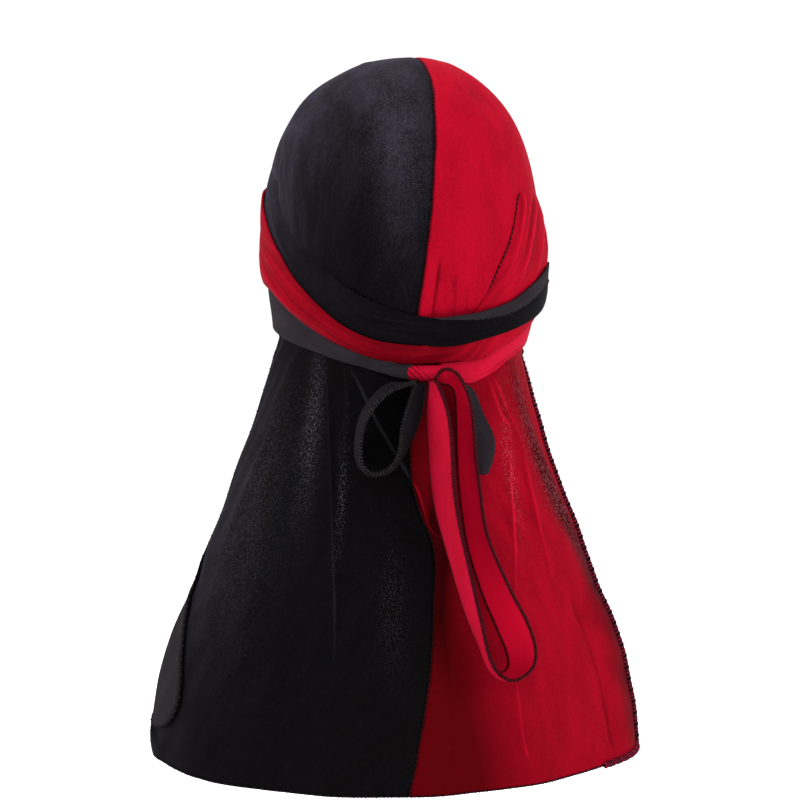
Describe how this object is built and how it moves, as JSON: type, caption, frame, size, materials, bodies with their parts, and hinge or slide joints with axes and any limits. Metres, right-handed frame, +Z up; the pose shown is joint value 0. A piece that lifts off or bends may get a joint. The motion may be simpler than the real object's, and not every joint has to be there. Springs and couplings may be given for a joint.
{
  "type": "durag",
  "caption": "Two-colour velvet head wrap: fitted crown, wide straps crossed round the head, small bow at the nape and a long flared tail.",
  "frame": {"origin": "middle of the head at the crown's widest level, where the head holds the cap up", "axes": "+Z up; the wearer faces -Y, so the bow and the tail are on the +Y side; +X is the wearer's left, the black side"},
  "size_m": [0.2796, 0.2139, 0.4063],
  "materials": {
    "black_velvet": "crushed velvet, short shiny pile",
    "red_velvet": "crushed velvet, short shiny pile",
    "black_backing": "matte knit, the wrong side of the velvet",
    "red_backing": "matte knit, the wrong side of the velvet"
  },
  "bodies": {
    "root": {"panel_left": "black_velvet", "panel_right": "red_velvet", "strap_left": "black_velvet", "strap_right": "red_velvet", "knot": "red_backing", "black_loop": "black_velvet", "red_loop": "red_velvet", "black_end": "black_backing"}
  },
  "joints": []
}
